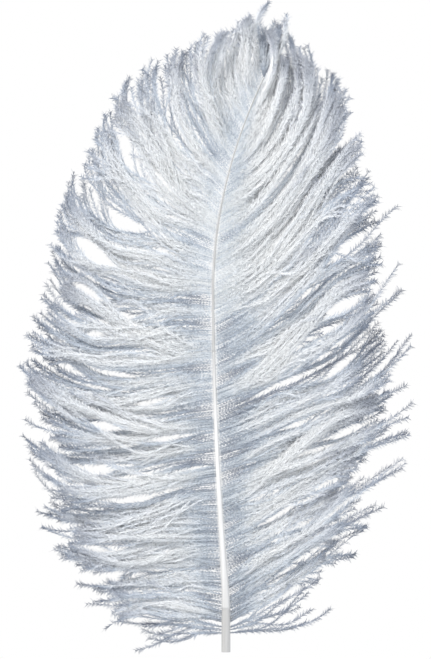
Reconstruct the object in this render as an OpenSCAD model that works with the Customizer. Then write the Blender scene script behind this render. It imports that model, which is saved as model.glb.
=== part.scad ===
// Ostrich plume, standing on the cut end of its quill.
// +Z runs up the quill, +X across the vanes and +Y to the back. The origin is the centre of the cut end.
// The shaft is divided at three heights, where it bends fore and aft.

/* [Quill] */
// Outside diameter of the quill at its cut end
quill_d = 5; // [4:0.1:6.5]
// Thickness of the quill's wall around its bore
quill_wall = 0.6; // [0.4:0.05:0.9]
// Length of the round bare end
bare_l = 8; // [6:0.5:10]
// Depth of the open bore
bore_l = 16; // [12:0.5:17]
// Length of the quill, up to where the shaft turns solid
quill_l = 24; // [23:0.5:34]

/* [Shaft] */
// Height of the shaft's tip
shaft_l = 318; // [250:1:400]
// Diameter of the shaft at its tip
tip_d = 0.5; // [0.4:0.05:0.8]
// How far the shaft bows to the left at mid height
bow = 7.2; // [0:0.1:15]
// How far the tip leans back to the right of the bow
tip_lean = 28; // [10:0.5:34]
// How far the tip nods forward
nod = 12; // [0:0.5:25]
// Height of the slot between two lengths of shaft, where it bends
flex_gap = 0.8; // [0.6:0.1:1.5]

/* [Vanes] */
// Height at which the locks of barbs begin
vane_z = 16; // [15:0.5:22]
// Length of the longest lock
barb_l = 121; // [90:1:150]
// Greatest thickness of a lock
lock_t = 3.2; // [2:0.1:4]
// Clear height between neighbouring locks where they leave the shaft
lock_gap = 1.4; // [0.8:0.1:2.5]
// Extra clear height on each side of a bend
bend_gap = 1.3; // [1:0.1:2.5]
// Gap between the barbs and the shaft's skin
root_gap = 0.1; // [0.05:0.05:0.3]
// How far the tips of the locks splay to the front and back
splay = 8; // [0:0.5:12]
// How far the vanes' edges cup forward
cup = 5; // [0:0.5:10]
// Length of the crown locks that stand on the shaft's tip
crown_l = 40; // [30:1:52]

/* [Hidden] */
// Number of locks on each side of each length of shaft, from the quill to the tip
LOCKS = [7, 6, 4, 3];
STARTS = [for (k = [0:len(LOCKS)]) total([for (i = [0:1:k - 1]) LOCKS[i]])];
ROWS = STARTS[len(LOCKS)];
// Angles above the horizontal in which the crown locks stand, from left to right
CROWN = [95, 88.5, 82, 75.5];
// The crown parts between its second and third locks
CROWN_PARTING = 85;
// Half the angle that a crown lock spans, how far its end leans from the parting, and its clear foot
CROWN_HALF = 2.7;
CROWN_LEAN = 4;
CROWN_FOOT = 2;
CROWN_NARROWS = 0.7;
CROWN_T = [0.6, 1.6];
SEGMENTS = ["base", "middle", "upper", "tip"];

// Rows are share of the barbed height, angle at the root, midway and at the end, and share of barb_l
LEFT_FLOW = [
    [0.00, 18, 2, -12, 0.54], [0.08, 8, -6, -4, 0.64], [0.20, 2, -8, 22, 0.83],
    [0.31, -5, -8, 42, 0.89], [0.43, -6, 0, 50, 0.91], [0.54, 2, 5, 50, 0.90],
    [0.62, 10, 15, 85, 0.89], [0.68, 22, 28, 95, 0.88], [0.74, 40, 46, 80, 0.84],
    [0.81, 45, 60, 80, 0.74], [0.88, 52, 74, 82, 0.57], [0.93, 58, 80, 92, 0.45], [1.00, 64, 88, 92, 0.32]
];
RIGHT_FLOW = [
    [0.00, 32, 34, 30, 0.56], [0.08, 28, 31, 24, 0.70], [0.20, 25, 24, 25, 0.86],
    [0.31, 20, 20, 45, 0.89], [0.43, 22, 32, 40, 0.93], [0.54, 24, 42, 35, 0.97],
    [0.64, 24, 50, 32, 0.99], [0.70, 26, 52, 45, 0.98], [0.74, 28, 54, 58, 0.95], [0.78, 30, 57, 72, 0.90],
    [0.82, 35, 62, 82, 0.80], [0.88, 40, 70, 86, 0.60], [0.93, 44, 74, 88, 0.45], [1.00, 46, 72, 82, 0.30]
];
// Rows are height above the bare end, angle at the root, midway and at the end, and a loose strand's length
LEFT_STRANDS = [[2.6, 4, -4, 20, 46], [4.2, 8, 0, 2, 58], [5.8, 12, 2, -10, 50]];
RIGHT_STRANDS = [[2.6, 6, 16, 48, 60], [4.2, 12, 24, 44, 58], [5.8, 20, 30, 34, 50]];

STEPS = 12;
SHAFT_SIDES = 10;
SHAFT_STEP = 9;
STRAND_W = 1.2;
LOOSE = 0.05;
SOFT_START = 0.06;
BOW_Z = 0.63 * shaft_l;
// Rows are share of the shaft's length and how much of its thickness is left
TAPER = [[0, 1], [0.12, 0.65], [0.26, 0.44], [0.53, 0.19], [0.74, 0.07], [1, 0]];
bore_r = quill_d / 2 - quill_wall;
chamber_r = bore_r - 0.2;
chamber_z = [bore_l, quill_l - 1.5];
row_h = (shaft_l - vane_z) / ROWS;

function two_digits(n) = str(n < 10 ? "0" : "", n);
function lock_name(side, row) = str(side < 0 ? "left_lock_" : "right_lock_", two_digits(row + 1));

// Height of bend number k, and the ends of the length of shaft above it
function flex_z(k) = vane_z + STARTS[k] * row_h;
function segment_z(k) = [
    k == 0 ? quill_l + LOOSE : flex_z(k) + flex_gap / 2,
    k == 3 ? shaft_l : flex_z(k + 1) - flex_gap / 2
];

// A share that starts to grow softly, so that the bow leaves the straight quill without a kink
function soft(s) = sqrt(s * s + SOFT_START * SOFT_START) - SOFT_START;
function bow_share(z) = 1 - pow(1 - soft((z - quill_l) / (BOW_Z - quill_l)), 2);
function shaft_x(z) =
    z < quill_l ? 0 :
    z < BOW_Z ? -bow * bow_share(z) :
    -bow * bow_share(BOW_Z) + tip_lean * pow((z - BOW_Z) / (shaft_l - BOW_Z), 2);
function sheet_y(z) = -nod * pow(max(0, z - quill_l) / (shaft_l - quill_l), 2);
function shaft_r(z) =
    let (s = (z - quill_l) / (shaft_l - quill_l), root_r = 0.94 * quill_d / 2, tip_r = tip_d / 2)
    tip_r + (root_r - tip_r) * lookup(s, TAPER);

// Flow of the barbs: a quadratic through the angles at the root, midway and at the end
function column(table, c) = [for (row = table) [row[0], row[c]]];
function flow(side, z) =
    let (table = side < 0 ? LEFT_FLOW : RIGHT_FLOW, s = (z - vane_z) / (shaft_l - vane_z))
    [for (c = [1:4]) lookup(s, column(table, c)) * (c == 4 ? barb_l : 1)];
function flow_angle(f, t) = f[0] * (1 - t) * (1 - 2 * t) + 4 * f[1] * t * (1 - t) + f[2] * t * (2 * t - 1);
function total(v, i = 0) = i < len(v) ? v[i] + total(v, i + 1) : 0;
function reach(f, t) =
    let (a = [for (k = [0.5:STEPS]) flow_angle(f, t * k / STEPS)])
    [total([for (x = a) cos(x)]), total([for (x = a) sin(x)])] * t * f[3] / STEPS;
// Radius of the quill or shaft at a height
function stem_r(z) =
    z > quill_l ? shaft_r(z) :
    lookup(z, [[0, quill_d / 2], [bare_l, quill_d / 2], [quill_l, shaft_r(quill_l)]]);
function root_x(side, z) = shaft_x(z) + side * (stem_r(z) + root_gap);
function barb_point(side, z, f, t) =
    let (r = reach(f, t)) [root_x(side, z) + side * r[0], z + r[1]];

// How wide and thick a lock is along its length, and its own length and lean
function swell(t) = 0.55 + 0.45 * min(1, t / 0.25);
function fade(t) = 1 - 0.82 * pow(max(0, t - 0.45) / 0.55, 1.5);
function lock_stretch(side, row) = 1 + 0.045 * sin(137 * row + 60 * side);
function lock_lean(side, row) = splay * sin(151 * row + 100 * side);
function is_bend(row) = len(search(row, [for (k = [1:3]) STARTS[k]])) > 0;
function lock_edges(row) = [
    vane_z + row * row_h + lock_gap / 2 + (is_bend(row) ? bend_gap : 0),
    vane_z + (row + 1) * row_h - lock_gap / 2 - (is_bend(row + 1) ? bend_gap : 0)
];

// A closed skin over rings that all have the same number of points
module skin(rings, flip = false) {
    n = len(rings[0]);
    last = (len(rings) - 1) * n;
    points = [for (ring = rings) for (p = ring) p];
    sides = [for (i = [0:len(rings) - 2]) for (k = [0:n - 1])
        let (a = i * n + k, b = i * n + (k + 1) % n)
        each [[a, b + n, b], [a, a + n, b + n]]];
    caps = [[for (k = [0:n - 1]) k], [for (k = [n - 1:-1:0]) last + k]];
    faces = concat(sides, caps);
    polyhedron(points, flip ? [for (f = faces) [for (k = [len(f) - 1:-1:0]) f[k]]] : faces);
}

// One ring of a lock: its lower edge, front, upper edge and back
function lens(lo, hi, y, t) = [
    [lo[0], y, lo[1]],
    [(lo[0] + hi[0]) / 2, y - t / 2, (lo[1] + hi[1]) / 2],
    [hi[0], y, hi[1]],
    [(lo[0] + hi[0]) / 2, y + t / 2, (lo[1] + hi[1]) / 2]
];

module lock(side, row) {
    edges = lock_edges(row);
    mid = (edges[0] + edges[1]) / 2;
    half = (edges[1] - edges[0]) / 2;
    stretch = lock_stretch(side, row);
    lean = lock_lean(side, row);
    rings = [for (i = [0:STEPS])
        let (
            t = i / STEPS,
            h = half * swell(t) * fade(t),
            lo = barb_point(side, mid - h, flow(side, mid - h), t * stretch),
            hi = barb_point(side, mid + h, flow(side, mid + h), t * stretch),
            y = sheet_y((lo[1] + hi[1]) / 2) + (lean - cup) * t * t
        )
        lens(lo, hi, y, lock_t * swell(t) * fade(t))];
    skin(rings, side > 0);
}

module crown_lock(k) {
    side = CROWN[k] > CROWN_PARTING ? -1 : 1;
    foot = [shaft_x(shaft_l), shaft_l];
    rings = [for (i = [0:STEPS])
        let (
            t = i / STEPS,
            r = CROWN_FOOT + (crown_l - CROWN_FOOT) * t,
            w = CROWN_HALF * (1 - CROWN_NARROWS * pow(t, 3)),
            a = CROWN[k] - side * CROWN_LEAN * t * t,
            lo = foot + r * [cos(a - w), sin(a - w)],
            hi = foot + r * [cos(a + w), sin(a + w)],
            y = sheet_y((lo[1] + hi[1]) / 2) + 0.5 * splay * t * t * (k % 2 == 0 ? 1 : -1)
        )
        lens(lo, hi, y, CROWN_T[0] + CROWN_T[1] * sin(150 * t))];
    skin(rings, true);
}

module base_strands(side, strands) {
    for (s = strands) {
        f = [s[1], s[2], s[3], s[4]];
        rings = [for (i = [0:STEPS])
            let (
                t = i / STEPS,
                q = barb_point(side, bare_l + s[0], f, t),
                w = [0, STRAND_W / 2 * (1 - 0.6 * t)],
                y = -cup * t * t
            )
            lens(q - w, q + w, y, STRAND_W * (1 - 0.6 * t))];
        skin(rings, side > 0);
    }
}

function shaft_ring(z, r) = [for (k = [0:SHAFT_SIDES - 1])
    let (a = 360 * k / SHAFT_SIDES)
    [shaft_x(z) + r * cos(a), sheet_y(z) + r * sin(a), z]];
function heights(ends) =
    let (n = ceil((ends[1] - ends[0]) / SHAFT_STEP))
    [for (i = [0:n]) ends[0] + (ends[1] - ends[0]) * i / n];
function pith_r(z) = 0.72 * shaft_r(z) - LOOSE;

module shaft_core(ends, grow) {
    skin([for (z = heights(ends)) shaft_ring(z, pith_r(z) + grow)]);
}

module shaft_skin(k) {
    color("ivory") difference() {
        skin([for (z = heights(segment_z(k))) shaft_ring(z, shaft_r(z))]);
        if (k < 3)
            shaft_core(segment_z(k) + [-1, 1], LOOSE);
    }
}

module shaft_pith(k) {
    color("linen") shaft_core(segment_z(k), 0);
}

module quill() {
    color("cornsilk") difference() {
        union() {
            cylinder(h = bare_l, d = quill_d, $fn = 48);
            translate([0, 0, bare_l])
                cylinder(h = quill_l - bare_l, d1 = quill_d, d2 = 2 * shaft_r(quill_l), $fn = 48);
        }
        translate([0, 0, -1])
            cylinder(h = bore_l + 1, r = bore_r, $fn = 48);
        translate([0, 0, bore_l - LOOSE])
            cylinder(h = chamber_z[1] - chamber_z[0], r = chamber_r, $fn = 48);
    }
}

module pith_plug() {
    color("linen")
        translate([0, 0, chamber_z[0] + LOOSE])
            cylinder(h = chamber_z[1] - chamber_z[0] - 4 * LOOSE, r = chamber_r - LOOSE, $fn = 48);
}

quill();
pith_plug();
for (k = [0:3])
    shaft_skin(k);
for (k = [0:2])
    shaft_pith(k);
for (side = [-1, 1], row = [0:ROWS - 1])
    color(row % 2 == 0 ? "white" : "aliceblue") lock(side, row);
for (k = [0:len(CROWN) - 1])
    color("ghostwhite") crown_lock(k);
color("lavender") base_strands(-1, LEFT_STRANDS);  // left_base_strands
color("lavender") base_strands(1, RIGHT_STRANDS);  // right_base_strands
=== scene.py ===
"""The ostrich plume's looks: about 1,460 barbs with their barbules, in locks, of which those that keep to one
length of the shaft ride on it.

All lengths are in millimetres until a mesh is made. t is the share of a barb's length, from 0 at the shaft
to 1 at its end, and a barb's place along the shaft is the height of its root.
"""

import math

import bpy
import numpy as np
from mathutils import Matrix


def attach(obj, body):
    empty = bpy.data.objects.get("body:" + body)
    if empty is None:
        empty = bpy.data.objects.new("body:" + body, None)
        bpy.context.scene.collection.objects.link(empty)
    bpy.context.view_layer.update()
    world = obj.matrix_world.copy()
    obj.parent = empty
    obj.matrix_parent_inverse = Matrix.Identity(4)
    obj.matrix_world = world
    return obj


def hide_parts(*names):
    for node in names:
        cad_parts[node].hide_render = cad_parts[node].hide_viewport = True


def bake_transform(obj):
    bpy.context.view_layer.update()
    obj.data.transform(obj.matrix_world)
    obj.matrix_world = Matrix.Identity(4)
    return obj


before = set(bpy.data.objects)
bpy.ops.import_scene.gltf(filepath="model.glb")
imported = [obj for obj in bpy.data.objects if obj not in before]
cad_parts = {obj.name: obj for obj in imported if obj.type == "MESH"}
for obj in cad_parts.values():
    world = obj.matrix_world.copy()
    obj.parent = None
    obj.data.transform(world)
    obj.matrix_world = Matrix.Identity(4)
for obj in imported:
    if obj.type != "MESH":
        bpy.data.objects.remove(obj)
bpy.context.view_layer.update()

rng = np.random.default_rng(33)
MM = 0.001

# ---------------------------------------------------------------- shaft, as in the CAD
QUILL_D, QUILL_L, BARE_L = 5.0, 24.0, 8.0
SHAFT_L, TIP_D = 318.0, 0.5
BOW, TIP_LEAN, NOD = 7.2, 28.0, 12.0
BOW_Z, SOFT_START = 0.63 * SHAFT_L, 0.06
# how the thickness falls from the root to the tip, and how much slimmer than the quill the root is
THICKNESS = [(0, 1), (0.12, 0.65), (0.26, 0.44), (0.53, 0.19), (0.74, 0.07), (1, 0)]
ROOT_SHARE = 0.94


def smoothstep(a, b, x):
    s = np.clip((x - a) / (b - a), 0, 1)
    return s * s * (3 - 2 * s)


def bow_share(z):
    s = (z - QUILL_L) / (BOW_Z - QUILL_L)
    return 1 - (1 - (np.sqrt(s * s + SOFT_START**2) - SOFT_START)) ** 2


def shaft_x(z):
    z = np.asarray(z, float)
    low = -BOW * bow_share(z)
    high = -BOW * bow_share(BOW_Z) + TIP_LEAN * ((z - BOW_Z) / (SHAFT_L - BOW_Z)) ** 2
    return np.where(z < QUILL_L, 0, np.where(z < BOW_Z, low, high))


def sheet_y(z):
    return -NOD * (np.maximum(0, np.asarray(z, float) - QUILL_L) / (SHAFT_L - QUILL_L)) ** 2


def shaft_r(z):
    s = (np.asarray(z, float) - QUILL_L) / (SHAFT_L - QUILL_L)
    share, size = zip(*THICKNESS)
    root_r, tip_r = ROOT_SHARE * QUILL_D / 2, TIP_D / 2
    return tip_r + (root_r - tip_r) * np.interp(s, share, size)


def root_radius(root):
    """The shaft's radius beside barbs that root at these heights."""
    return shaft_r(np.maximum(root, QUILL_L))


# ---------------------------------------------------------------- flow of the barbs, as in the CAD,
# but that the ends of the upper barbs curl over towards the tip
VANE_Z, BARB_L, CUP, SPLAY = 16.0, 121.0, 5.0, 8.0
LOCKS = {"base": 7, "middle": 6, "upper": 4, "tip": 3}
ROWS = sum(LOCKS.values())
ROW_H = (SHAFT_L - VANE_Z) / ROWS
# the first row above each bend, and the bends' heights
BEND_ROWS = np.cumsum(list(LOCKS.values()))[:-1]
BENDS = [VANE_Z + row * ROW_H for row in BEND_ROWS]
# share of the barbed height, angle at the root, midway and at the end, share of BARB_L
LEFT_FLOW = [
    (0.00, 18, 2, -12, 0.54), (0.08, 8, -6, -4, 0.64), (0.20, 2, -8, 22, 0.83),
    (0.31, -5, -8, 42, 0.89), (0.43, -6, 0, 50, 0.91), (0.54, 2, 5, 50, 0.90),
    (0.62, 10, 15, 85, 0.89), (0.68, 22, 28, 95, 0.88), (0.74, 40, 46, 80, 0.84),
    (0.81, 45, 60, 80, 0.74), (0.88, 52, 74, 82, 0.57), (0.93, 58, 80, 92, 0.45), (1.00, 64, 88, 92, 0.32),
]
RIGHT_FLOW = [
    (0.00, 32, 34, 30, 0.56), (0.08, 28, 31, 24, 0.70), (0.20, 25, 24, 25, 0.86),
    (0.31, 20, 20, 45, 0.89), (0.43, 22, 32, 40, 0.93), (0.54, 24, 42, 35, 0.97),
    (0.64, 24, 50, 32, 0.99), (0.70, 26, 52, 45, 0.98), (0.74, 28, 54, 58, 0.95), (0.78, 30, 57, 72, 0.90),
    (0.82, 35, 62, 82, 0.80), (0.88, 40, 70, 86, 0.60), (0.93, 44, 74, 88, 0.45), (1.00, 46, 72, 82, 0.30),
]
# height above the bare end, angle at the root, midway and at the end, and length of each loose strand
STRANDS = {
    -1: [(2.6, 4, -4, 20, 46), (4.2, 8, 0, 2, 58), (5.8, 12, 2, -10, 50)],
    1: [(2.6, 6, 16, 48, 60), (4.2, 12, 24, 44, 58), (5.8, 20, 30, 34, 50)],
}
# the crown locks' angles, the angle between the vanes, and the locks' half width, lean and length
CROWN, CROWN_PARTING, CROWN_HALF, CROWN_LEAN, CROWN_L = (95, 88.5, 82, 75.5), 85, 2.7, 4, 40
# how far the upper barbs' ends curl over, in degrees, and where up the vane that begins and is whole
CURL_OVER, CURL_FROM, CURL_FULL = 46, 0.50, 0.85
# near the tip the barbs are longer than the CAD's locks: by what share, and from where up the vane
TIP_LONGER, TIP_LONGER_FROM = 0.1, 0.85
# the grid that the flow is worked out on: its heights, its steps in t, how far past t = 1 it goes,
# the t where the barbs stop turning, how many rows to each side the tables are smoothed over,
# and where t = 0 is in the shaft, as a share of its radius
GRID_LOW, GRID_HIGH, GRID_STEP = VANE_Z - 12, SHAFT_L + 8, 1.0
GRID_T, GRID_REACH, LAST_TURN = 64, 1.3, 1.08
SMOOTH_ROWS, ROOT_DEEP = 9, 0.7

# Where neighbouring barbs part: side, root height, t, half length in t, half width in mm
GAPS = [
    (-1, 92, 0.42, 0.22, 2.6), (-1, 104, 0.18, 0.12, 1.2), (-1, 112, 0.60, 0.24, 3.0),
    (-1, 123, 0.22, 0.16, 1.8), (-1, 134, 0.56, 0.20, 2.8), (-1, 144, 0.32, 0.13, 1.6),
    (-1, 158, 0.74, 0.13, 2.0), (-1, 176, 0.60, 0.10, 1.6), (-1, 192, 0.62, 0.12, 2.3),
    (-1, 206, 0.66, 0.14, 2.8), (-1, 62, 0.70, 0.20, 2.2), (-1, 44, 0.60, 0.22, 2.0),
    (1, 48, 0.52, 0.18, 2.4), (1, 66, 0.62, 0.16, 2.2), (1, 76, 0.30, 0.12, 1.3),
    (1, 92, 0.50, 0.14, 1.8), (1, 112, 0.46, 0.20, 1.6), (1, 128, 0.66, 0.22, 2.4),
    (1, 150, 0.76, 0.18, 2.6), (1, 172, 0.80, 0.16, 2.8),
]
# how far from a gap's middle the barbs are pushed aside, in mm
GAP_FADE = 5.5
# Silky tufts that sweep across the others, with a painted sheen:
# side, root height, half width in mm, drift up the vane in mm, painted lightness
SWEEPS = [
    (-1, 101, 3.6, 13, 0.26), (-1, 126, 3.6, 15, 0.22), (-1, 168, 4.2, 24, 0.30),
    (-1, 203, 4.0, 8, 0.24), (-1, 238, 4.6, 4, 0.26), (1, 84, 4.6, 24, 0.30),
    (1, 143, 3.6, 14, 0.22), (1, 196, 5.4, 8, 0.32), (1, 218, 4.6, 5, 0.28),
    (1, 246, 4.6, 2, 0.28),
]
# Painted highlights and painted shade, where the vanes are painted lighter or darker:
# side, root height, t, half length in t, half width in mm, how much lighter
PAINTED_HIGHLIGHTS_AND_SHADE = [
    (1, 207, 0.45, 0.42, 11, 0.30), (1, 245, 0.50, 0.42, 11, 0.24), (1, 90, 0.60, 0.45, 6, 0.20),
    (1, 146, 0.45, 0.40, 4, 0.12), (1, 131, 0.35, 0.30, 6, -0.14), (1, 108, 0.40, 0.30, 5, -0.14),
    (1, 24, 0.45, 0.40, 8, -0.16), (-1, 238, 0.50, 0.45, 10, 0.26), (-1, 214, 0.30, 0.26, 9, 0.20),
    (-1, 178, 0.60, 0.40, 5, 0.22), (-1, 158, 0.35, 0.30, 5, 0.12), (-1, 145, 0.60, 0.25, 4, -0.10),
    (-1, 126, 0.60, 0.25, 4, 0.10), (-1, 114, 0.75, 0.20, 4, -0.14), (-1, 102, 0.55, 0.35, 5, 0.20),
    (-1, 79, 0.40, 0.30, 7, -0.12), (-1, 30, 0.60, 0.40, 8, -0.16),
]
# painted light: the vanes are painted lighter upwards, by this much between these heights
PAINTED_UPPER_LIGHT, LIGHT_FROM, LIGHT_TO = 0.16, 30, 230


def course(a0, am, a1, t):
    """A barb's angle at t, from its angles at the root, midway and at the end."""
    return a0 * ((1 - t) * (1 - 2 * t)) + am * (4 * t * (1 - t)) + a1 * (t * (2 * t - 1))


def smooth_columns(table, share):
    """Each column of the table at these shares of the barbed height, smoothed over the rows around it."""
    columns = np.array(table, float).T
    kernel = np.ones(2 * SMOOTH_ROWS + 1) / (2 * SMOOTH_ROWS + 1)
    for column in columns[1:]:
        values = np.interp(share, columns[0], column)
        yield np.convolve(np.pad(values, SMOOTH_ROWS, "edge"), kernel, "valid")[:, None]


def flow_grid(table, side):
    """Where the flow's lines run: an array over root height and t of x and z."""
    z = np.arange(GRID_LOW, GRID_HIGH, GRID_STEP)[:, None]
    share = (z - VANE_Z) / (SHAFT_L - VANE_Z)
    a0, am, a1, length = smooth_columns(table, share[:, 0])
    length = length * (1 + TIP_LONGER * smoothstep(TIP_LONGER_FROM, 1, share))
    t = np.linspace(0, GRID_REACH, GRID_T + 1)
    mid = np.minimum((t[1:] + t[:-1]) / 2, LAST_TURN)
    over = smoothstep(CURL_FROM, CURL_FULL, share) * (CURL_OVER * mid**3)
    angle = np.radians(course(a0, am, a1, mid) + over)
    step = BARB_L * length * GRID_REACH / GRID_T
    root = shaft_x(z) + side * root_radius(z) * ROOT_DEEP
    x = root + side * np.pad(np.cumsum(np.cos(angle) * step, 1), ((0, 0), (1, 0)))
    up = z + np.pad(np.cumsum(np.sin(angle) * step, 1), ((0, 0), (1, 0)))
    return np.stack([x, up], -1)


GRIDS = {-1: flow_grid(LEFT_FLOW, -1), 1: flow_grid(RIGHT_FLOW, 1)}


def between(grid, u, v):
    """The grid's values at the places u, v, which are counted in cells."""
    i, j = u.astype(int), v.astype(int)
    fu, fv = u - i, v - j
    if grid.ndim > 2:
        fu, fv = fu[..., None], fv[..., None]
    low = grid[i, j] * (1 - fv) + grid[i, j + 1] * fv
    high = grid[i + 1, j] * (1 - fv) + grid[i + 1, j + 1] * fv
    return low * (1 - fu) + high * fu


def on_flow(side, root, t):
    """x and z on the flow at these root heights and t."""
    grid = GRIDS[side]
    u = np.clip((root - GRID_LOW) / GRID_STEP, 0, grid.shape[0] - 1.001)
    v = np.clip(t / GRID_REACH * GRID_T, 0, GRID_T - 0.001)
    return between(grid, u, v)


# ---------------------------------------------------------------- barbs
BARB_SEGMENTS = 46
T = np.linspace(0, 1, BARB_SEGMENTS + 1)

# The even layer behind: distance between roots, how uneven they are,
# least number of tufts and one past the most, and how uneven the tufts' edges are
BARB_GAP, ROOT_JITTER, TUFT_COUNT, TUFT_JITTER = 0.84, 0.2, (2, 4), 0.25
# The bold tufts in front: distance between roots, half width, least number and one past the most,
# and where in its share of the lock each one stands
BOLD_GAP, BOLD_HALF, BOLD_COUNT, BOLD_PLACE = 0.75, 3.0, (1, 3), (0.2, 0.8)
# distance between the roots of a silky tuft
SWEEP_GAP = 0.42

# How a tuft's barbs come together, drift along the vane and curl at their ends, in front and behind,
# and between which shares of their length they do it
GATHER_FRONT, GATHER_BEHIND, GATHER_ALONG = (0.2, 0.7), (0.0, 0.5), (0.3, 0.95)
DRIFT_FRONT, DRIFT_BEHIND, DRIFT_ALONG = 5.5, 1.2, (0.15, 0.9)
CURL_FRONT, CURL_BEHIND, CURL_ALONG = 5.0, 3.0, (0.7, 1.1)
# how far tufts next to a bend may drift or curl towards it
PAST_BEND = 0.5
# Waves along the vane and in depth: size, least and greatest number of waves
TUFT_WAVES, BARB_WAVES, STRAY_WAVES = (2.2, 0.6, 1.4), (1.0, 1, 3), (7, 0.8, 1.8)
DEEP_TUFT_WAVES, DEEP_BARB_WAVES = (1.0, 0.5, 1.2), (0.7, 0.8, 2.5)
# how much calmer the front barbs are, the share of stray ones, and how far single ends spread
FRONT_CALM, STRAY_SHARE = 0.4, 0.05
END_SPREAD, SPREAD_ALONG = 2.6, (0.6, 1.05)

# How far barbs reach along the flow: by tuft, by barb, and the share and reach of short ones
TUFT_REACH, BARB_REACH = (0.78, 0.98), (0.93, 1.03)
SHORT_SHARE, SHORT_REACH = 0.22, (0.6, 0.95)
# Stray long barbs: their share and their least and greatest reach, on each side and at the lower right
STRAY_LONG = {-1: (0.06, 0.98, 1.06), 1: (0.07, 1.01, 1.14)}
LOW_RIGHT_LONG, LOW_RIGHT_TOP, STRAY_LONG_TOP = (0.14, 1.04, 1.27), 62.0, 170.0

# Depth: how locks lean in turn, as in the CAD, how much tufts lean and lie apart, how far the bold ones lie
# in front, how far a tuft's middle stands out, and where on the shaft's side the barbs root
LEAN_BY_ROW, LEAN_BY_SIDE = 151, 100
TUFT_LEAN, LAYER_SPREAD, FRONT_LAYER, TUFT_CROWN, LAYER_ALONG = 3, 1.0, 2.4, 1.5, (0.08, 0.5)
ROOT_FORWARD, ROOT_SPREAD = 0.25, 0.4

# Lightness: of tufts, at random, the painted light on their middles and on the bold ones in front, and how
# much single barbs differ
TUFT_BRIGHT, MIDDLE_PAINTED_LIGHT, BOLD_PAINTED_LIGHT, BARB_BRIGHT = (-0.12, 0.11), 0.24, 0.14, 0.045


def waves(n, high, low_f, high_f):
    """n wandering curves over T that start at 0."""
    f = rng.uniform(low_f, high_f, (n, 1))
    phase = rng.uniform(0, 2 * math.pi, (n, 1))
    size = rng.uniform(0.3, 1, (n, 1)) * high
    return size * (np.sin(2 * math.pi * f * T + phase) - np.sin(phase)) * smoothstep(0, 0.5, T)


def lock_lean(side, row):
    return SPLAY * math.sin(math.radians(LEAN_BY_ROW * row + LEAN_BY_SIDE * side))


def part_barbs(side, where, t):
    """Push barbs apart round each gap."""
    for gap_side, height, at, long, wide in GAPS:
        if gap_side != side:
            continue
        middle = where[np.arange(len(where)), np.argmin(abs(t - at), 1)] - height
        push = np.where(middle < 0, -wide, wide) * np.exp(-((middle / GAP_FADE) ** 2))
        where = where + push[:, None] * np.exp(-(np.abs((t - at) / long) ** 3))
    return where


def painted_light_and_shade(side, where, t):
    """Painted highlights and shade: how much lighter the barbs are painted along their lengths."""
    # painted light: lighter towards the top, with painted highlights and painted shade added in spots
    light = PAINTED_UPPER_LIGHT * smoothstep(LIGHT_FROM, LIGHT_TO, where) - PAINTED_UPPER_LIGHT / 2
    for sheen_side, height, at, long, wide, lighter in PAINTED_HIGHLIGHTS_AND_SHADE:
        if sheen_side == side:
            across, along = (where - height) / wide, (t - at) / long
            light = light + lighter * np.exp(-(across**2) - np.abs(along) ** 3)
    return light


def lay_out(side, low):
    """The roots and tufts of the lock that starts at height low: tufts behind first, then bold, then swept.

    Returns the root heights, each root's tuft, the tufts' middles and half widths, how many tufts
    lie behind, and the rows of SWEEPS in this lock without their side.
    """
    behind = round(ROW_H / BARB_GAP)
    tufts = rng.integers(*TUFT_COUNT)
    edges = low + ROW_H * (np.arange(1, tufts) + rng.uniform(-TUFT_JITTER, TUFT_JITTER, tufts - 1)) / tufts
    even = low + (np.arange(behind) + 0.5) * ROW_H / behind
    root = even + rng.uniform(-ROOT_JITTER, ROOT_JITTER, behind)
    tuft = np.searchsorted(edges, root)
    bounds = np.concatenate([[low], edges, [low + ROW_H]])
    bold = rng.integers(*BOLD_COUNT)
    bold_centre = low + ROW_H * (np.arange(bold) + rng.uniform(*BOLD_PLACE, bold)) / bold
    swept = [sweep[1:] for sweep in SWEEPS if sweep[0] == side and low <= sweep[1] < low + ROW_H]
    front_centre = np.concatenate([bold_centre, [sweep[0] for sweep in swept]])
    front_half = np.concatenate([np.full(bold, BOLD_HALF), [sweep[1] for sweep in swept]])
    front_gap = np.concatenate([np.full(bold, BOLD_GAP), np.full(len(swept), SWEEP_GAP)])
    count = np.round(2 * front_half / front_gap).astype(int)
    front_root = [c + np.linspace(-h, h, k) for c, h, k in zip(front_centre, front_half, count)]
    root = np.concatenate([root, *front_root])
    tuft = np.concatenate([tuft, np.repeat(tufts + np.arange(len(count)), count)])
    centre = np.concatenate([(bounds[1:] + bounds[:-1]) / 2, front_centre])
    half = np.concatenate([(bounds[1:] - bounds[:-1]) / 2, front_half])
    return root, tuft, centre, half, tufts, swept


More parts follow.
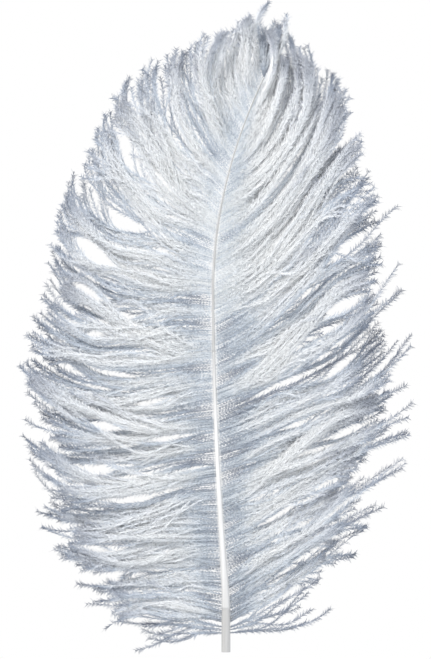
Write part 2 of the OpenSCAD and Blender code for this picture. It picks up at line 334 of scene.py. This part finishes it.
def wander(row, tuft, front, middle, across, swept):
    """Where each barb of a lock runs, as the root height of the flow line that it is on at each T."""
    total, n = len(front), len(tuft)
    gather = np.where(front, rng.uniform(*GATHER_FRONT, total), rng.uniform(*GATHER_BEHIND, total))[tuft]
    where = middle[:, None] + across[:, None] * (1 - gather[:, None] * smoothstep(*GATHER_ALONG, T))
    drift = rng.normal(0, 1, total) * np.where(front, DRIFT_FRONT, DRIFT_BEHIND)
    drift[total - len(swept):] = [sweep[2] for sweep in swept]
    curl = rng.normal(0, 1, total) * np.where(front, CURL_FRONT, CURL_BEHIND)
    # tufts next to a bend keep to their own side of it
    if row + 1 in BEND_ROWS:
        drift, curl = np.minimum(drift, PAST_BEND), np.minimum(curl, PAST_BEND)
    if row in BEND_ROWS:
        drift, curl = np.maximum(drift, -PAST_BEND), np.maximum(curl, -PAST_BEND)
    drifted = drift[tuft][:, None] * smoothstep(*DRIFT_ALONG, T)
    curled = curl[tuft][:, None] * smoothstep(*CURL_ALONG, T)
    where = where + drifted + curled
    calm = np.where(front, FRONT_CALM, 1)[tuft][:, None]
    where = where + waves(total, *TUFT_WAVES)[tuft] + calm * waves(n, *BARB_WAVES)
    where = where + rng.normal(0, END_SPREAD, (n, 1)) * smoothstep(*SPREAD_ALONG, T)
    stray = rng.random(n) < STRAY_SHARE
    return where + stray[:, None] * waves(n, *STRAY_WAVES)


def lock_reach(side, low, root, tuft, total):
    """How far along the flow each barb goes."""
    n = len(root)
    reach = rng.uniform(*TUFT_REACH, total)[tuft] * rng.uniform(*BARB_REACH, n)
    reach = np.where(rng.random(n) < SHORT_SHARE, reach * rng.uniform(*SHORT_REACH, n), reach)
    many, least, most = LOW_RIGHT_LONG if side > 0 and low < LOW_RIGHT_TOP else STRAY_LONG[side]
    long = (rng.random(n) < many) & (root < STRAY_LONG_TOP)
    return np.where(long, rng.uniform(least, most, n), reach)


def lock_barbs(side, row):
    """One lock's barbs: their centrelines as barb, segment and xyz, and how bright each one is, painted light
    and shade included.

    An even layer lies behind, gathered into tufts, and bolder tufts cross in front of it.
    """
    low = VANE_Z + row * ROW_H
    root, tuft, centre, half, tufts, swept = lay_out(side, low)
    total, n = len(centre), len(root)
    front = np.arange(total) >= tufts
    off = (root - centre[tuft]) / half[tuft]
    where = wander(row, tuft, front, centre[tuft], off * half[tuft], swept)
    t = T * lock_reach(side, low, root, tuft, total)[:, None]
    where = part_barbs(side, where, t)
    xz = on_flow(side, where, t)
    lean = (lock_lean(side, row) - CUP + rng.uniform(-TUFT_LEAN, TUFT_LEAN, total)[tuft])[:, None] * t**2
    y = sheet_y(xz[..., 1]) + lean + waves(total, *DEEP_TUFT_WAVES)[tuft] + waves(n, *DEEP_BARB_WAVES)
    layer = rng.normal(0, LAYER_SPREAD, total) - np.where(front, FRONT_LAYER, 0)
    y = y + (layer[tuft] - TUFT_CROWN * (1 - off**2))[:, None] * smoothstep(*LAYER_ALONG, T)
    y = y + (ROOT_FORWARD + rng.uniform(-ROOT_SPREAD, ROOT_SPREAD, (n, 1))) * root_radius(root)[:, None]
    # painted light: bold tufts, silky sweeps and each tuft's middle are painted lighter, and the painted
    # highlights and shade are added
    own = rng.uniform(*TUFT_BRIGHT, total) + BOLD_PAINTED_LIGHT * front
    own[total - len(swept):] = [sweep[3] for sweep in swept]
    bright = MIDDLE_PAINTED_LIGHT * (1 - off**2) + own[tuft] + rng.normal(0, BARB_BRIGHT, n)
    return np.stack([xz[..., 0], y, xz[..., 1]], -1), bright[:, None] + painted_light_and_shade(side, where, t)


# The crown's barbs: how many to a lock, how much wider than the CAD's lock they fan, where they start,
# the share and reach of the long wisps, and the reach of the others
CROWN_BARBS, CROWN_FAN, CROWN_START = 11, 1.15, 0.6
WISP_SHARE, WISP_REACH, CROWN_REACH = 0.25, (0.75, 0.83), (0.5, 0.74)
CROWN_WAVES, CROWN_DEEP_WAVES = (3.0, 0.5, 1.2), (1.0, 0.5, 1.5)
# the painted shade on the crown's barbs, which lie behind, how much single barbs differ, and how thickly
# barbules grow
CROWN_PAINTED_SHADE, CROWN_BARB_BRIGHT, CROWN_DENSITY = -0.12, 0.05, 0.9


def crown_barbs(k):
    """Barbs that fan from the shaft's tip."""
    n = CROWN_BARBS
    side = -1 if CROWN[k] > CROWN_PARTING else 1
    start = CROWN[k] + np.linspace(-1, 1, n)[:, None] * CROWN_HALF * CROWN_FAN
    wisp = rng.random((n, 1)) < WISP_SHARE
    reach = np.where(wisp, rng.uniform(*WISP_REACH, (n, 1)), rng.uniform(*CROWN_REACH, (n, 1)))
    r = CROWN_START + (CROWN_L * reach - CROWN_START) * T
    angle = np.radians(start - side * CROWN_LEAN * T**2 + waves(n, *CROWN_WAVES))
    z = SHAFT_L + r * np.sin(angle)
    x = shaft_x(SHAFT_L) + r * np.cos(angle)
    lean = SPLAY / 2 * (1 if k % 2 == 0 else -1)
    y = sheet_y(z) + lean * T**2 + waves(n, *CROWN_DEEP_WAVES)
    # painted shade: the crown's barbs are painted darker
    return np.stack([x, y, z], -1), CROWN_PAINTED_SHADE + rng.normal(0, CROWN_BARB_BRIGHT, (n, 1))


# The loose strands: lengths as shares of the CAD's, how uneven they and their roots are, how deep they root
STRAND_SHARES, STRAND_JITTER = (1, 0.88, 0.7), (0.95, 1.05)
STRAND_ROOT_JITTER, STRAND_DEEP = (-0.5, 0.5), 0.3
STRAND_WAVES, STRAND_DEEP_WAVES = (17, 0.7, 1.5), (0.6, 0.5, 1.2)
STRAND_BRIGHT, STRAND_DENSITY = -0.1, 1.1


def strand_barbs(side):
    """Loose barbs near the quill, each with two shorter ones beside it."""
    found = []
    for height, a0, am, a1, length in STRANDS[side]:
        for share in STRAND_SHARES:
            t = T * share * rng.uniform(*STRAND_JITTER)
            angle = np.radians(course(a0, am, a1, t))
            angle = angle + np.radians(waves(1, *STRAND_WAVES)[0])
            step = np.diff(t, prepend=0) * length
            z = BARE_L + height + rng.uniform(*STRAND_ROOT_JITTER) + np.cumsum(step * np.sin(angle))
            x = side * (QUILL_D / 2 - STRAND_DEEP + np.cumsum(step * np.cos(angle)))
            y = -CUP * t**2 + waves(1, *STRAND_DEEP_WAVES)[0]
            found.append(np.stack([x, y, z], -1))
    return np.array(found), np.full((len(found), 1), STRAND_BRIGHT)


# ---------------------------------------------------------------- meshes
BARB_R, BARB_TIP_R, BARB_TAPER = 0.13, 0.05, 0.7
# half a stem's width on the map, as a share of its row
ROW_WIDTH = 0.3
BARBULE_STEP, BARBULE_R, LEAST_BARBULES = 0.36, 0.13, 4
BARBULE_FIRST, BARBULE_SPAN = 0.01, 0.985
# a barbule's length at the root and what it gains,
# and its angle: at the root, how much less beyond it, how much more near the end
BARBULE_SIZE, BARBULE_GAIN, GAIN_ALONG = 0.9, 2.1, (0.02, 0.2)
BARBULE_ANGLE, ANGLE_LESS, LESS_ALONG, ANGLE_MORE, MORE_ALONG = 50, 12, (0.05, 0.3), 14, (0.6, 0.95)
ANGLE_SPREAD, SIZE_SPREAD = 6, (0.8, 1.1)
# how barbules cling together: the teeth's spacing, how fully they cling, how tall the teeth are,
# and how much teeth and single barbules are turned, in degrees
TOOTH, CLING, TOOTH_TALL, TOOTH_ROLL, BARBULE_ROLL = 1.9, 0.8, (0.35, 1.4), 30, 8
# a tooth's look is drawn from this many kinds, picked by its place, its barb and its flank
KINDS, KIND_BY_BARB, KIND_BY_FLANK = 977, 211, 17
# painted shade: how a barb's tone follows the cover, so that it is darker where few barbs lie,
# how dark the roots are painted and how much less so high on the shaft,
# and how much darker the barbules' ends are painted, most of all on dark barbs
TONE_BASE, TONE_BY_COVER, MOST_COVER = -0.24, 0.95, 1.05
ROOT_SHADE, ROOT_SHADE_LESS, LESS_SHADE_HEIGHTS, ROOT_SHADE_T = 0.6, 0.2, (120, 200), 0.3
END_PAINTED_SHADE, END_LIGHTER, END_LIGHTER_TONES = 0.30, 0.22, (0.45, 0.9)
TRIANGLE = [2 * math.pi * k / 3 for k in range(3)]


def unit(v):
    return v / np.maximum(np.linalg.norm(v, axis=-1, keepdims=True), 1e-9)


def blur(grid, sigma):
    reach = int(3 * sigma)
    kernel = np.exp(-0.5 * (np.arange(-reach, reach + 1) / sigma) ** 2)
    kernel /= kernel.sum()
    for axis in (0, 1):
        grid = np.apply_along_axis(lambda line: np.convolve(line, kernel, "same"), axis, grid)
    return grid


class Cover:
    """How thickly the barbs lie, over a grid of x and z in cells of 1 mm. 1 is common, 0 is bare."""

    EDGE, BLUR, BARE, COMMON = 8, 1.8, 0.05, 60

    def __init__(self, paths):
        points = np.concatenate([p[..., [0, 2]].reshape(-1, 2) for p in paths])
        self.low = points.min(0) - self.EDGE
        grid = np.zeros(np.ceil(points.max(0) + self.EDGE - self.low).astype(int))
        cell = (points - self.low).astype(int)
        np.add.at(grid, (cell[:, 0], cell[:, 1]), 1.0)
        grid = blur(grid, self.BLUR)
        self.grid = grid / np.percentile(grid[grid > self.BARE], self.COMMON)

    def __call__(self, xyz):
        place = xyz[..., [0, 2]] - self.low - 0.5
        return between(self.grid, place[..., 0], place[..., 1])


def barb_tone(barbs, bright, cover):
    """How light each barb is at each T: painted shade where few barbs lie and near the shaft."""
    # painted shade beside the shaft, and where the barbs lie thin
    root_shade = ROOT_SHADE - ROOT_SHADE_LESS * smoothstep(*LESS_SHADE_HEIGHTS, barbs[:, :1, 2])
    thick = TONE_BY_COVER * np.minimum(cover(barbs), MOST_COVER)
    return bright + TONE_BASE + thick - root_shade * (1 - smoothstep(0, ROOT_SHADE_T, T))


def stem_mesh(barbs, across, out, row, tone):
    """The barbs' stems, with three sides: points, faces, map and tone."""
    n, m = barbs.shape[:2]
    r = (BARB_R + (BARB_TIP_R - BARB_R) * T**BARB_TAPER)[None, :, None]
    rings = [barbs + r * (math.cos(a) * across + math.sin(a) * out) for a in TRIANGLE]
    ring = (np.arange(n * m).reshape(n, m) * 3)[..., None] + np.arange(3)
    a, b = ring[:, :-1], np.roll(ring, -1, 2)[:, :-1]
    c, d = np.roll(ring, -1, 2)[:, 1:], ring[:, 1:]
    faces = [np.stack([a, b, c], -1).reshape(-1, 3), np.stack([a, c, d], -1).reshape(-1, 3)]
    faces += [ring[:, 0, ::-1], ring[:, -1]]
    u = np.broadcast_to(T[None, :, None], (n, m, 3))
    v = row[:, None, None] + np.array([-ROW_WIDTH, 0, ROW_WIDTH]) / n * np.ones((n, m, 1))
    return np.stack(rings, 2).reshape(-1, 3), faces, np.stack([u, v], -1).reshape(-1, 2), np.repeat(tone, 3)


def barbule_mesh(barbs, along, across, out, row, tone, density):
    """The barbules, one thin spike each: points, faces, map and tone.

    Barbules on one flank of a barb cling together at their ends, as small teeth.
    """
    n = len(barbs)
    length = np.linalg.norm(np.diff(barbs, axis=1), axis=2).sum(1)
    count = np.maximum(LEAST_BARBULES, (length / BARBULE_STEP * density).astype(int))
    barb = np.repeat(np.arange(n), count)
    order = np.arange(count.sum()) - np.repeat(np.cumsum(count) - count, count)
    t = BARBULE_FIRST + BARBULE_SPAN * (order + rng.uniform(0, 1, len(order))) / count[barb]
    barb, t = np.tile(barb, 2), np.tile(t, 2)
    flank = np.repeat([-1.0, 1.0], len(order))
    k = len(t)
    i = np.minimum((t * BARB_SEGMENTS).astype(int), BARB_SEGMENTS - 1)
    f = t * BARB_SEGMENTS - i

    def at(values):
        share = f if values.ndim == 2 else f[:, None]
        return values[barb, i] * (1 - share) + values[barb, i + 1] * share

    base, forward, side, up = at(barbs), unit(at(along)), unit(at(across)), unit(at(out))
    size = BARBULE_SIZE + BARBULE_GAIN * smoothstep(*GAIN_ALONG, t)
    angle = BARBULE_ANGLE - ANGLE_LESS * smoothstep(*LESS_ALONG, t) + ANGLE_MORE * smoothstep(*MORE_ALONG, t)
    angle = np.radians(angle + rng.normal(0, ANGLE_SPREAD, k))
    size = size * rng.uniform(*SIZE_SPREAD, k)
    ahead, tall = size * np.cos(angle), size * np.sin(angle)
    place = t * length[barb]
    phase = rng.uniform(0, TOOTH, (n, 2))[barb, (flank > 0).astype(int)]
    tooth = np.round((place + ahead - phase) / TOOTH)
    ahead = ahead + CLING * (tooth * TOOTH + phase - place - ahead)
    kind = (tooth + KIND_BY_BARB * barb + KIND_BY_FLANK * (flank > 0)).astype(int) % KINDS
    tall = tall * rng.uniform(*TOOTH_TALL, KINDS)[kind]
    roll = np.radians(rng.normal(0, TOOTH_ROLL, KINDS))[kind] + np.radians(rng.normal(0, BARBULE_ROLL, k))
    away = flank[:, None] * np.cos(roll)[:, None] * side + np.sin(roll)[:, None] * up
    direction = ahead[:, None] * forward + tall[:, None] * away
    size = np.linalg.norm(direction, axis=1)[:, None]
    direction = direction / size
    u = unit(np.cross(direction, up + 0.3 * side))
    v = np.cross(direction, u)
    feet = [base + BARBULE_R * (math.cos(a) * u + 0.5 * math.sin(a) * v) for a in TRIANGLE]
    points = np.stack([*feet, base + size * direction], 1).reshape(-1, 3)
    first = 4 * np.arange(k)[:, None]
    faces = [first + np.array(corner) for corner in ([0, 1, 3], [1, 2, 3], [2, 0, 3], [0, 2, 1])]
    map_u = np.stack([t - 0.002, t, t + 0.002, np.minimum(1, t + size[:, 0] / length[barb])], 1)
    tilt = 0.4 / n * flank
    map_v = row[barb][:, None] + np.stack([0 * tilt, 0.1 * tilt, 0 * tilt, tilt], 1)
    foot_tone = at(tone)
    # painted shade: each barbule's end is painted darker than its foot, least on light barbs
    tip_tone = foot_tone - END_PAINTED_SHADE + END_LIGHTER * smoothstep(*END_LIGHTER_TONES, foot_tone)
    tones = np.stack([foot_tone, foot_tone, foot_tone, tip_tone], 1).ravel()
    return points, faces, np.stack([map_u, map_v], -1).reshape(-1, 2), tones


def barb_mesh(name, barbs, bright, material, cover, density):
    """One mesh of barbs with their barbules. Its map runs along each barb, one row to a barb."""
    n = len(barbs)
    along = unit(np.gradient(barbs, axis=1))
    across = unit(np.cross(along, [0.0, 1.0, 0.0]))
    out = np.cross(across, along)
    row = (np.arange(n) + 0.5) / n
    tone = barb_tone(barbs, bright, cover)
    stems, stem_faces, stem_map, stem_tone = stem_mesh(barbs, across, out, row, tone)
    spikes, spike_faces, spike_map, spike_tone = barbule_mesh(barbs, along, across, out, row, tone, density)
    faces = np.concatenate(stem_faces + [face + len(stems) for face in spike_faces])
    return make_mesh(name, np.concatenate([stems, spikes]), faces, np.concatenate([stem_map, spike_map]),
                     material, np.concatenate([stem_tone, spike_tone]))


def make_mesh(name, points, faces, uv, material, tone=None):
    mesh = bpy.data.meshes.new(name)
    mesh.vertices.add(len(points))
    mesh.vertices.foreach_set("co", (points * MM).astype(np.float32).ravel())
    mesh.loops.add(faces.size)
    mesh.loops.foreach_set("vertex_index", faces.astype(np.int32).ravel())
    mesh.polygons.add(len(faces))
    mesh.polygons.foreach_set("loop_start", np.arange(0, faces.size, faces.shape[1], dtype=np.int32))
    mesh.update(calc_edges=True)
    layer = mesh.uv_layers.new(name="OFBake")
    layer.data.foreach_set("uv", uv[faces.ravel()].astype(np.float32).ravel())
    if tone is not None:
        mesh.attributes.new("tone", "FLOAT", "POINT").data.foreach_set("value", tone.astype(np.float32))
    mesh.shade_smooth()
    mesh.materials.append(material)
    obj = bpy.data.objects.new(name, mesh)
    bpy.context.scene.collection.objects.link(obj)
    return obj


# ---------------------------------------------------------------- materials
def new_material(name, **sockets):
    material = bpy.data.materials.new(name)
    material.use_nodes = True
    shader = material.node_tree.nodes["Principled BSDF"]
    for socket, value in sockets.items():
        shader.inputs[socket.replace("_", " ")].default_value = value
    return material, material.node_tree, shader


def add(tree, kind, **settings):
    node = tree.nodes.new(kind)
    for key, value in settings.items():
        if key in node.inputs:
            node.inputs[key].default_value = value
        else:
            setattr(node, key, value)
    return node


def ramp(tree, fac, stops):
    node = tree.nodes.new("ShaderNodeValToRGB")
    while len(node.color_ramp.elements) < len(stops):
        node.color_ramp.elements.new(0.5)
    for element, (place, colour) in zip(node.color_ramp.elements, stops):
        element.position = place
        element.color = (*colour, 1)
    tree.links.new(fac, node.inputs["Fac"])
    return node.outputs["Color"]


def stretched_noise(tree, vector, scale, detail=3.0):
    stretch = add(tree, "ShaderNodeMapping", Scale=scale)
    noise = add(tree, "ShaderNodeTexNoise", Scale=1.0, Detail=detail, Roughness=0.6)
    tree.links.new(vector, stretch.inputs["Vector"])
    tree.links.new(stretch.outputs[0], noise.inputs["Vector"])
    return noise.outputs["Fac"]


def multiply(tree, first, second):
    product = add(tree, "ShaderNodeMix", data_type="RGBA", blend_type="MULTIPLY")
    product.inputs["Factor"].default_value = 1.0
    for socket, link in zip([s for s in product.inputs if s.type == "RGBA"], (first, second)):
        tree.links.new(link, socket)
    return [s for s in product.outputs if s.type == "RGBA"][0]


# the streaks along the barbs, the barbs' colours by tone, from the blue-grey of painted shade up to white,
# and the painted shade at the roots and ends that this is multiplied by along their length
STREAK_SCALE, STREAK_DEPTH = (6, 45, 1), 0.52
BARB_SHADES = [
    (0.0, (0.30, 0.33, 0.40)), (0.3, (0.51, 0.56, 0.64)), (0.6, (0.77, 0.81, 0.86)),
    (0.82, (0.92, 0.93, 0.95)), (1.0, (0.98, 0.98, 0.98)),
]
ALONG_PAINTED_SHADE = [
    (0.0, (0.84, 0.85, 0.85)), (0.2, (0.93, 0.94, 0.95)), (0.45, (1, 1, 1)), (0.8, (0.95, 0.96, 0.98)),
    (0.92, (0.74, 0.76, 0.81)), (1.0, (0.46, 0.48, 0.54)),
]


def barb_material():
    """Soft white, coloured by the mesh's tone, painted light and shade included, with fine streaks, and with
    painted shade at the roots and the ends of the barbs.
    """
    material, tree, shader = new_material("barbs", Roughness=0.5, Sheen_Weight=0.25, Sheen_Roughness=0.4)
    uv = add(tree, "ShaderNodeUVMap", uv_map="OFBake")
    streaks = stretched_noise(tree, uv.outputs[0], STREAK_SCALE)
    # the tone attribute holds each barb's lightness with its painted light and shade
    tone = add(tree, "ShaderNodeAttribute", attribute_name="tone", attribute_type="GEOMETRY")
    shift = add(tree, "ShaderNodeMath", operation="MULTIPLY_ADD")
    shift.inputs[1].default_value = STREAK_DEPTH
    shift.inputs[2].default_value = -STREAK_DEPTH / 2
    tree.links.new(streaks, shift.inputs[0])
    both = add(tree, "ShaderNodeMath", operation="ADD", use_clamp=True)
    tree.links.new(tone.outputs["Fac"], both.inputs[0])
    tree.links.new(shift.outputs[0], both.inputs[1])
    shade = ramp(tree, both.outputs[0], BARB_SHADES)
    split = add(tree, "ShaderNodeSeparateXYZ")
    tree.links.new(uv.outputs[0], split.inputs[0])
    # painted shade: darker at the barbs' roots and ends
    ends = ramp(tree, split.outputs["X"], ALONG_PAINTED_SHADE)
    tree.links.new(multiply(tree, shade, ends), shader.inputs["Base Color"])
    return material


def keratin_material(name, pale, deep, roughness, scale, shades=((0, 1), (1, 1))):
    """Streaks or mottles from deep to pale, under a thin coat. shades: lightness at shares of SHAFT_L."""
    material, tree, shader = new_material(name, Roughness=roughness, Coat_Weight=0.15, Coat_Roughness=0.25)
    place = add(tree, "ShaderNodeTexCoord").outputs["Object"]
    streaks = stretched_noise(tree, place, scale)
    split = add(tree, "ShaderNodeSeparateXYZ")
    tree.links.new(place, split.inputs[0])
    height = add(tree, "ShaderNodeMath", operation="DIVIDE")
    height.inputs[1].default_value = SHAFT_L * MM
    tree.links.new(split.outputs["Z"], height.inputs[0])
    fade = ramp(tree, height.outputs[0], [(share, (shade,) * 3) for share, shade in shades])
    streaked = ramp(tree, streaks, [(0.3, deep), (0.7, pale)])
    tree.links.new(multiply(tree, streaked, fade), shader.inputs["Base Color"])
    bump = add(tree, "ShaderNodeBump", Strength=0.15, Distance=0.0002)
    tree.links.new(streaks, bump.inputs["Height"])
    tree.links.new(bump.outputs[0], shader.inputs["Normal"])
    return material


BARBS = barb_material()
SHAFT_SHADES = ((0.08, 0.80), (0.30, 1.0), (0.42, 0.95), (0.55, 0.60))
SHAFT = keratin_material(
    "shaft_keratin", (0.80, 0.78, 0.76), (0.68, 0.66, 0.64), 0.3, (900, 900, 25), SHAFT_SHADES
)
QUILL = keratin_material("quill_keratin", (0.50, 0.485, 0.47), (0.42, 0.405, 0.39), 0.36, (700, 700, 40))
PITH = keratin_material("pith", (0.90, 0.87, 0.80), (0.80, 0.76, 0.68), 0.8, (1500, 1500, 1500))
FLOOR = keratin_material("floor", (0.90, 0.90, 0.90), (0.86, 0.86, 0.87), 0.8, (2, 2, 2))


# ---------------------------------------------------------------- pieces
LENGTHS = [f"{name}_length" for name in LOCKS]
BEND_REACH = 8.0
LOCK_DENSITY = 1.0
SHAFT_SIDES, SHAFT_STEP, GROOVE_DEEP, GROOVE_WIDE = 20, 1.5, 0.16, 0.45


def body_of_row(row):
    return LENGTHS[np.searchsorted(BEND_ROWS, row, side="right")]


def bend_at(obj, bend):
    """Bake obj's transform; the ends of the shaft's bend between two of its lengths are worked out but not
    used.
    """
    z = BENDS[bend]
    at = (float(shaft_x(z)), float(sheet_y(z)))
    start, end = ([c * MM for c in (*at, z + side)] for side in (-BEND_REACH, BEND_REACH))
    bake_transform(obj)
    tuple(start)
    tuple(end)


def carry(obj, barbs, body):
    """Barbs that cross a bend next to their own length go to bend_at; others ride on their own length."""
    own = LENGTHS.index(body)
    crossed = []
    for bend in (own - 1, own):
        if 0 <= bend < len(BENDS):
            above = barbs[..., 2] > BENDS[bend]
            crossed.append((min(above.mean(), 1 - above.mean()), bend))
    share, bend = max(crossed)
    if share > 0:
        bend_at(obj, bend)
    else:
        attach(obj, body)


def shaft_piece(name, ends, nodes, bend):
    """A smooth length of shaft with a shallow groove down its back, across one of the shaft's bends."""
    sides = SHAFT_SIDES
    z = np.linspace(*ends, math.ceil((ends[1] - ends[0]) / SHAFT_STEP) + 1)
    a = np.arange(sides) * 2 * math.pi / sides
    groove = 1 - GROOVE_DEEP * np.exp(-((a - math.pi / 2) / GROOVE_WIDE) ** 2)
    r = shaft_r(z)[:, None] * groove
    x = shaft_x(z)[:, None] + r * np.cos(a)
    y = sheet_y(z)[:, None] + r * np.sin(a)
    points = np.stack([x, y, np.repeat(z[:, None], sides, 1)], -1).reshape(-1, 3)
    ring = np.arange(len(z) * sides).reshape(len(z), sides)
    low, high = ring[:-1], ring[1:]
    quads = np.stack([low, np.roll(low, -1, 1), np.roll(high, -1, 1), high], -1).reshape(-1, 4)
    centres = np.array([[float(shaft_x(e)), float(sheet_y(e)), e] for e in ends])
    points = np.concatenate([points, centres])
    caps = [[len(points) - 2, ring[0, (k + 1) % sides], ring[0, k]] for k in range(sides)]
    caps += [[len(points) - 1, ring[-1, k], ring[-1, (k + 1) % sides]] for k in range(sides)]
    faces = np.concatenate([quads[:, [0, 1, 2]], quads[:, [0, 2, 3]], np.array(caps)])
    share = (points[:, 2] - ends[0]) / (ends[1] - ends[0])
    round_share = np.concatenate([np.tile(np.abs(a / math.pi - 1), len(z)), [0.5, 0.5]])
    obj = make_mesh(name, points, faces, np.stack([share, round_share], -1), SHAFT)
    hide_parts(*nodes)
    bend_at(obj, bend)


def make_shaft():
    """Three lengths of shaft, each across one of the bends, that meet midway between them."""
    low_cut, high_cut = (BENDS[0] + BENDS[1]) / 2, (BENDS[1] + BENDS[2]) / 2
    shaft_piece("shaft_low", (QUILL_L, low_cut), ["shaft_skin_base", "shaft_pith_base"], 0)
    shaft_piece("shaft_mid", (low_cut, high_cut), ["shaft_skin_middle", "shaft_pith_middle"], 1)
    top_nodes = ["shaft_skin_upper", "shaft_pith_upper", "shaft_skin_tip"]
    shaft_piece("shaft_top", (high_cut, SHAFT_L), top_nodes, 2)


def all_barbs():
    """Each piece of barbs: its name, the CAD node, slot, body, density, centrelines and lightness with its
    painted light and shade.
    """
    for side, word in ((-1, "left"), (1, "right")):
        for row in range(ROWS):
            names = f"{word}_barbs_{row + 1:02d}", f"{word}_lock_{row + 1:02d}"
            yield *names, "white_barbs", body_of_row(row), LOCK_DENSITY, *lock_barbs(side, row)
        names = f"{word}_strands", f"{word}_base_strands"
        yield *names, "loose_barbs", LENGTHS[0], STRAND_DENSITY, *strand_barbs(side)
    for k in range(len(CROWN)):
        names = f"crown_barbs_{k + 1}", f"crown_lock_{k + 1}"
        yield *names, "white_barbs", LENGTHS[-1], CROWN_DENSITY, *crown_barbs(k)


def make_barbs():
    found = list(all_barbs())
    cover = Cover([barbs for *_, barbs, bright in found])
    for name, node, slot, body, density, barbs, bright in found:
        piece = barb_mesh(name, barbs, bright, BARBS, cover, density)
        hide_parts(node)
        carry(piece, barbs, body)


make_shaft()
make_barbs()
for name, material in (("quill", QUILL), ("pith_plug", PITH)):
    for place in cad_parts[name].material_slots:
        place.material = material


# ---------------------------------------------------------------- camera, light and floor
VIEW_CENTRE, VIEW_HEIGHT, VIEW_DISTANCE = (-5.8, 0.0, 179.3), 366.4, 1600.0
FLOOR_Z, FLOOR_R, FLOOR_SIDES = -350.0, 2500.0, 96
# each light's place and size in metres, watts and colour, and the height on the z axis that they point at
LIGHT_AIM = 0.18
KEY = ((-0.9, -1.0, 1.3), 0.5, 24, (1.0, 0.99, 0.97))
FILL = ((0.9, -0.9, 0.5), 0.8, 5, (0.9, 0.95, 1.0))
ROOM_COLOUR, ROOM_STRENGTH = (0.90, 0.95, 1.0, 1), 0.88
SEEN_COLOUR, SEEN_STRENGTH = (1, 1, 1, 1), 1.0


def make_floor():
    a = np.arange(FLOOR_SIDES) * 2 * math.pi / FLOOR_SIDES
    rim = np.stack([FLOOR_R * np.cos(a), FLOOR_R * np.sin(a), np.full(FLOOR_SIDES, FLOOR_Z)], -1)
    points = np.concatenate([rim, [[0, 0, FLOOR_Z]]])
    faces = np.array([[k, (k + 1) % FLOOR_SIDES, FLOOR_SIDES] for k in range(FLOOR_SIDES)])
    make_mesh("floor", points, faces, points[:, :2] / (2 * FLOOR_R) + 0.5, FLOOR)


def make_camera():
    camera = bpy.data.objects.new("camera", bpy.data.cameras.new("camera"))
    camera.data.lens = camera.data.sensor_width * VIEW_DISTANCE / VIEW_HEIGHT
    camera.location = [c * MM for c in (VIEW_CENTRE[0], -VIEW_DISTANCE, VIEW_CENTRE[2])]
    camera.rotation_euler = (math.pi / 2, 0, 0)
    bpy.context.scene.collection.objects.link(camera)
    bpy.context.scene.camera = camera


def make_light(name, place, size, watts, colour):
    light = bpy.data.objects.new(name, bpy.data.lights.new(name, "AREA"))
    light.data.shape = "DISK"
    light.data.size = size
    light.data.energy = watts
    light.data.color = colour
    light.location = place
    towards = -light.location
    towards.z += LIGHT_AIM
    light.rotation_euler = towards.to_track_quat("-Z", "Y").to_euler()
    bpy.context.scene.collection.objects.link(light)


def make_world():
    """A pale blue-white room gives the soft light, and behind the plume the view is plain white."""
    world = bpy.data.worlds.new("studio")
    bpy.context.scene.world = world
    world.use_nodes = True
    tree = world.node_tree
    room = tree.nodes["Background"]
    room.inputs["Color"].default_value = ROOM_COLOUR
    room.inputs["Strength"].default_value = ROOM_STRENGTH
    seen = add(tree, "ShaderNodeBackground", Color=SEEN_COLOUR, Strength=SEEN_STRENGTH)
    path = add(tree, "ShaderNodeLightPath")
    mix = add(tree, "ShaderNodeMixShader")
    tree.links.new(path.outputs["Is Camera Ray"], mix.inputs[0])
    tree.links.new(room.outputs[0], mix.inputs[1])
    tree.links.new(seen.outputs[0], mix.inputs[2])
    tree.links.new(mix.outputs[0], tree.nodes["World Output"].inputs["Surface"])


make_camera()
make_world()
make_floor()
make_light("key", *KEY)
make_light("fill", *FILL)
bpy.context.scene.view_settings.view_transform = "Standard"
